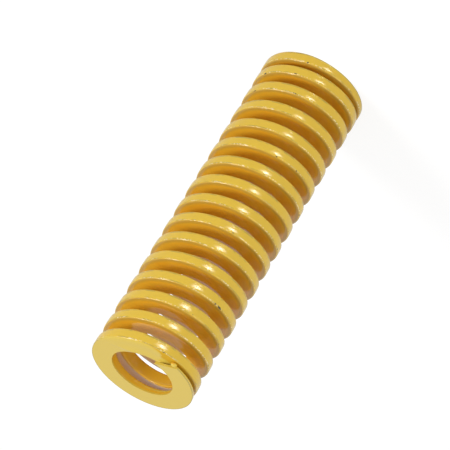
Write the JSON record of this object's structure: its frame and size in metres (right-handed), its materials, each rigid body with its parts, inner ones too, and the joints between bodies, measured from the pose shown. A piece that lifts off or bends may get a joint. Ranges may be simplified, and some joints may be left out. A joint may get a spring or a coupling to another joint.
{
  "type": "die spring",
  "caption": "Compression spring coiled from rectangular wire, with closed and ground flat ends, to push back along a guide rod.",
  "frame": {"origin": "centre of the lower ground end, on the surface it stands on", "axes": "+Z along the coil's axis, towards the upper ground end"},
  "size_m": [0.022, 0.022, 0.075],
  "materials": {
    "spring_enamel": "glossy yellow enamel over spring steel, thin and a little uneven at the wire's edges"
  },
  "bodies": {
    "root": {"die_spring": "spring_enamel"}
  },
  "joints": []
}
